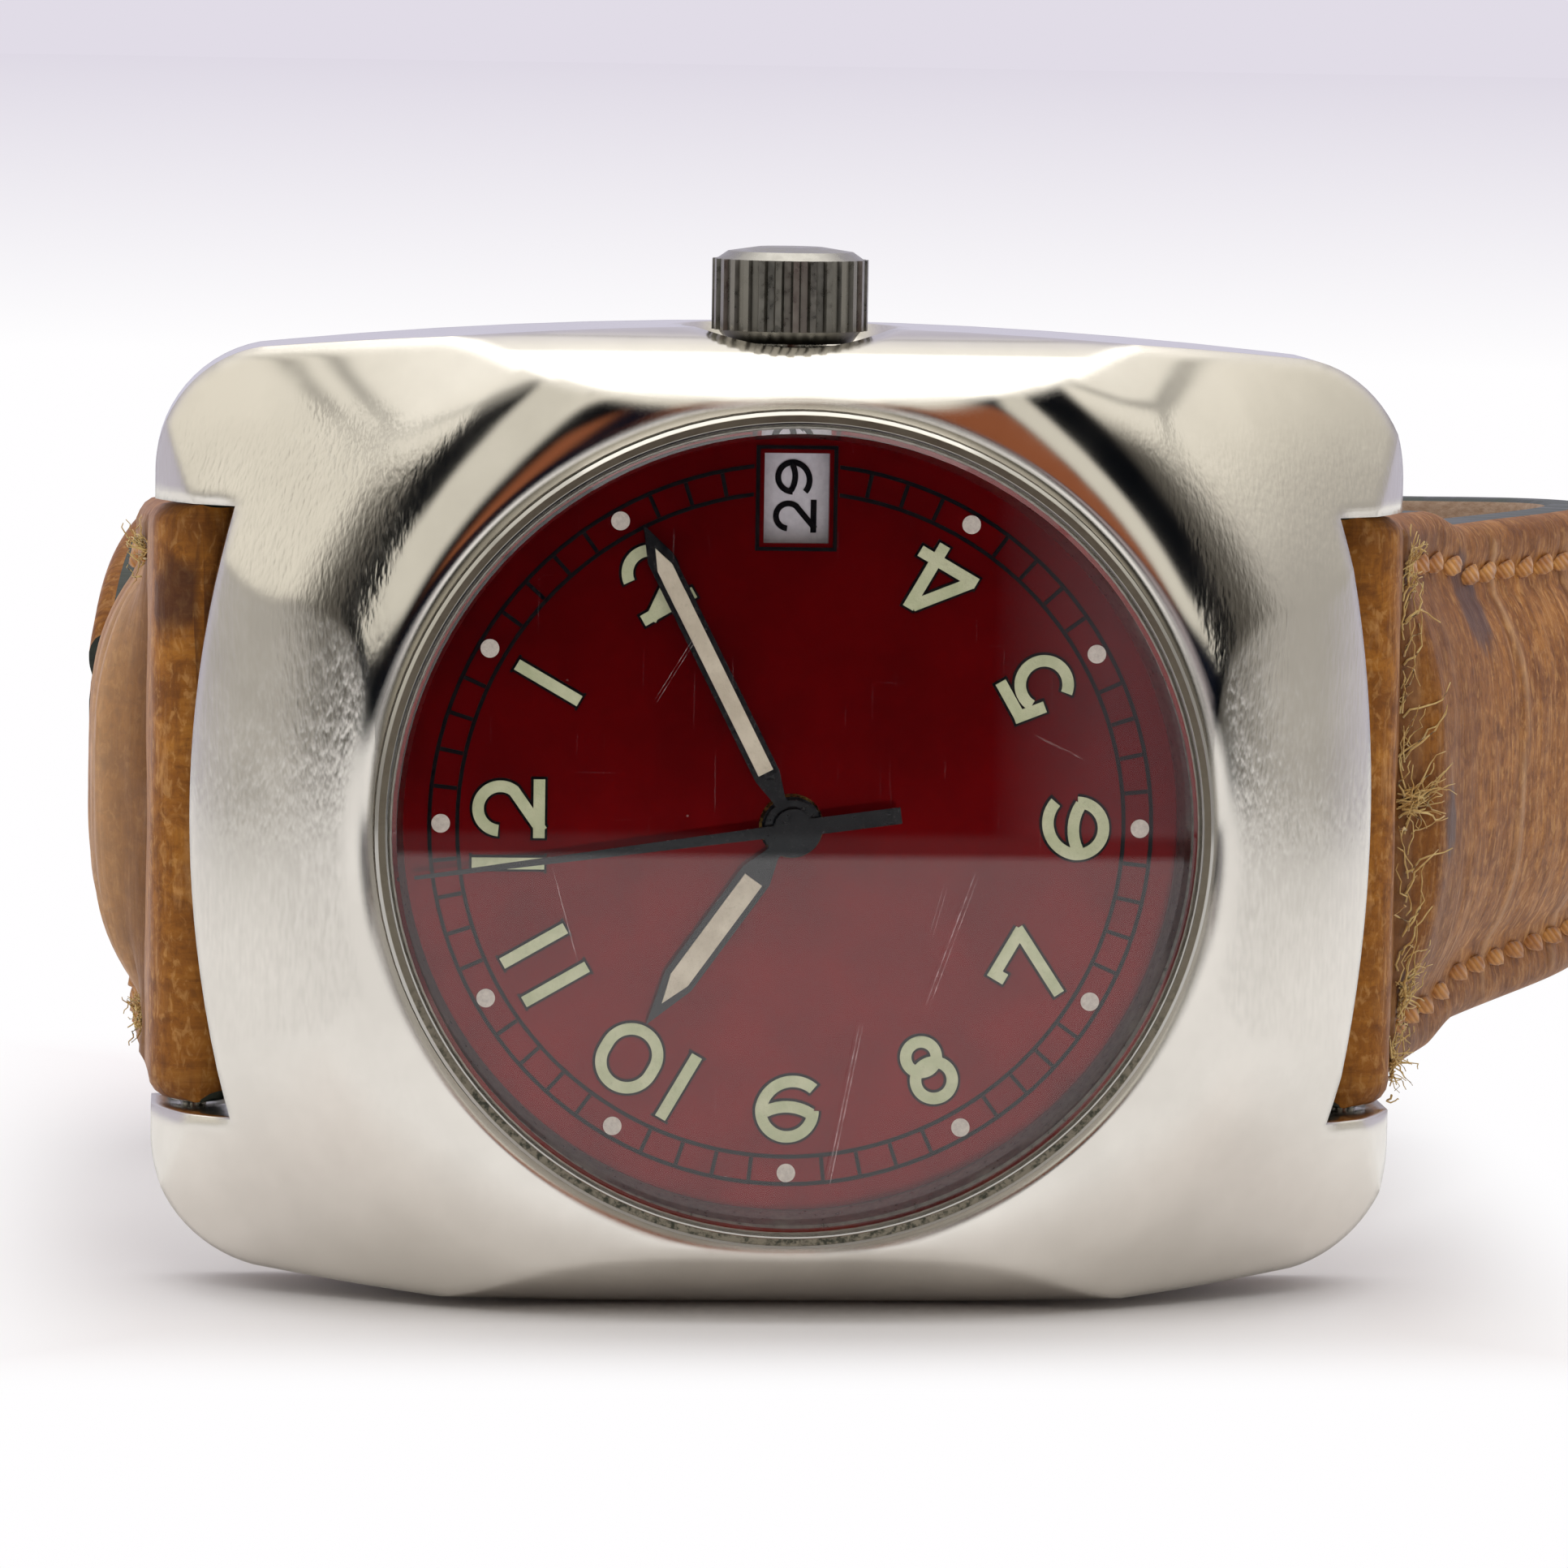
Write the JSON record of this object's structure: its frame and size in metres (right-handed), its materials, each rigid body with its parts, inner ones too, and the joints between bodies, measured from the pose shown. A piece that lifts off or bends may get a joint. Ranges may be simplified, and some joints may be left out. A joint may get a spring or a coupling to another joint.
{
  "type": "wristwatch",
  "caption": "Wristwatch with steel cushion case, red dial, date window, luminous hands and numerals, and a quilled leather strap, standing on its flank.",
  "frame": {"origin": "centre of the outer face of the case back, on the dial axis", "axes": "+Y out of the case back, away from the dial; +Z toward three o'clock, the crown, which is up as the watch stands; +X toward six o'clock"},
  "size_m": [0.0565, 0.0541, 0.0345],
  "materials": {
    "steel_satin": "satin with fine scratches",
    "steel_dark": "dark worn steel",
    "steel_movement": "nickel plated",
    "rubber": "matt",
    "nylon": "matt",
    "glass": "polished",
    "dial_red": "glossy lacquer",
    "print_black": "printed",
    "dot_white": "printed",
    "lume": "luminous filling",
    "hand_black": "glossy black",
    "brass": "turned",
    "magnet": "dull",
    "copper": "wound wire",
    "board": "solder mask",
    "disc_white": "painted",
    "leather": "quilled leather, worn"
  },
  "bodies": {
    "case": {"case_middle": "steel_satin", "case_back": "steel_satin", "case_back_gasket": "rubber", "bezel_ring": "steel_dark", "crystal": "glass", "crystal_gasket": "nylon", "rehaut": "steel_satin", "crown_tube": "steel_movement", "dial": "dial_red", "date_frame": "print_black", "minute_track": "print_black", "hour_dots": "dot_white", "numeral_outlines": "print_black", "numeral_lume": "lume", "date_jumper": "steel_movement", "main_plate": "brass", "train_bridge": "steel_movement", "bridge_screws": "steel_movement", "stator": "magnet", "coil": "copper", "circuit_board": "board", "quartz_can": "steel_movement", "battery": "steel_movement", "battery_clamp": "steel_movement", "movement_ring": "nylon", "spring_bar_12": "steel_movement", "spring_bar_6": "steel_movement", "strap_12": "leather", "strap_6": "leather", "fixed_keeper": "leather", "buckle_frame": "steel_satin", "buckle_bar": "steel_movement"},
    "seconds": {"seconds_wheel": "brass", "seconds_hand": "hand_black"},
    "minutes": {"centre_wheel": "brass", "minute_hand": "hand_black", "minute_hand_lume": "lume"},
    "hours": {"hour_wheel": "brass", "hour_hand": "hand_black", "hour_hand_lume": "lume"},
    "third": {"third_wheel": "brass"},
    "step_wheel": {"intermediate_wheel": "brass"},
    "motor": {"rotor": "magnet"},
    "motion": {"minute_wheel": "brass"},
    "date_driver": {"date_wheel": "brass"},
    "date_disc": {"date_ring": "disc_white", "date_figure": "print_black"},
    "crown_pull": {"crown_gasket": "rubber", "setting_yoke": "steel_movement"},
    "crown_knob": {"crown": "steel_dark", "winding_stem": "steel_movement", "sliding_pinion": "steel_movement"},
    "tongue": {"buckle_tongue": "steel_satin"},
    "keeper": {"free_keeper": "leather"}
  },
  "joints": [
    {"name": "seconds_turn", "type": "hinge", "parent": "case", "child": "seconds", "pos_m": [0, -0.0031, 0], "axis": [0, 1, 0], "continuous": true},
    {"name": "minutes_turn", "type": "hinge", "parent": "case", "child": "minutes", "pos_m": [0, -0.0041, 0], "axis": [0, 1, 0], "continuous": true},
    {"name": "hours_turn", "type": "hinge", "parent": "case", "child": "hours", "pos_m": [0, -0.0066, 0], "axis": [0, 1, 0], "continuous": true},
    {"name": "third_turn", "type": "hinge", "parent": "case", "child": "third", "pos_m": [-0.00414, -0.0035, -0.00073], "axis": [0, 1, 0], "continuous": true},
    {"name": "step_turn", "type": "hinge", "parent": "case", "child": "step_wheel", "pos_m": [0.00423, -0.0035, 0.00075], "axis": [0, 1, 0], "continuous": true},
    {"name": "rotor_turn", "type": "hinge", "parent": "case", "child": "motor", "pos_m": [0.00524, -0.0032, 0.00351], "axis": [0, 1, 0], "continuous": true},
    {"name": "motion_turn", "type": "hinge", "parent": "case", "child": "motion", "pos_m": [-0.00255, -0.0062, 0.00255], "axis": [0, 1, 0], "continuous": true},
    {"name": "date_driver_turn", "type": "hinge", "parent": "case", "child": "date_driver", "pos_m": [0.00154, -0.0069, -0.00423], "axis": [0, 1, 0], "continuous": true},
    {"name": "date_disc_turn", "type": "hinge", "parent": "case", "child": "date_disc", "pos_m": [0, -0.0071, 0], "axis": [0, 1, 0], "continuous": true},
    {"name": "crown_pull_slide", "type": "slide", "parent": "case", "child": "crown_pull", "axis": [0, 0, 1], "range_m": [0, 0.0014]},
    {"name": "crown_turn", "type": "hinge", "parent": "crown_pull", "child": "crown_knob", "pos_m": [0, -0.0043, 0.017], "axis": [0, 0, 1], "continuous": true},
    {"name": "tongue_lift", "type": "hinge", "parent": "case", "child": "tongue", "pos_m": [0.0112, 0.0388, 0], "axis": [0, 0, 1], "range_deg": [0, 8]},
    {"name": "keeper_slide", "type": "slide", "parent": "case", "child": "keeper", "axis": [1, 0, 0], "range_m": [-0.001, 0.0024]}
  ],
  "couplings": [
    {"joint": "seconds_turn", "follows": "minutes_turn", "ratio": 60},
    {"joint": "hours_turn", "follows": "minutes_turn", "ratio": 0.083333},
    {"joint": "third_turn", "follows": "minutes_turn", "ratio": -10},
    {"joint": "step_turn", "follows": "minutes_turn", "ratio": -300},
    {"joint": "rotor_turn", "follows": "minutes_turn", "ratio": 1800},
    {"joint": "motion_turn", "follows": "minutes_turn", "ratio": -0.33333},
    {"joint": "date_driver_turn", "follows": "minutes_turn", "ratio": -0.041667}
  ]
}
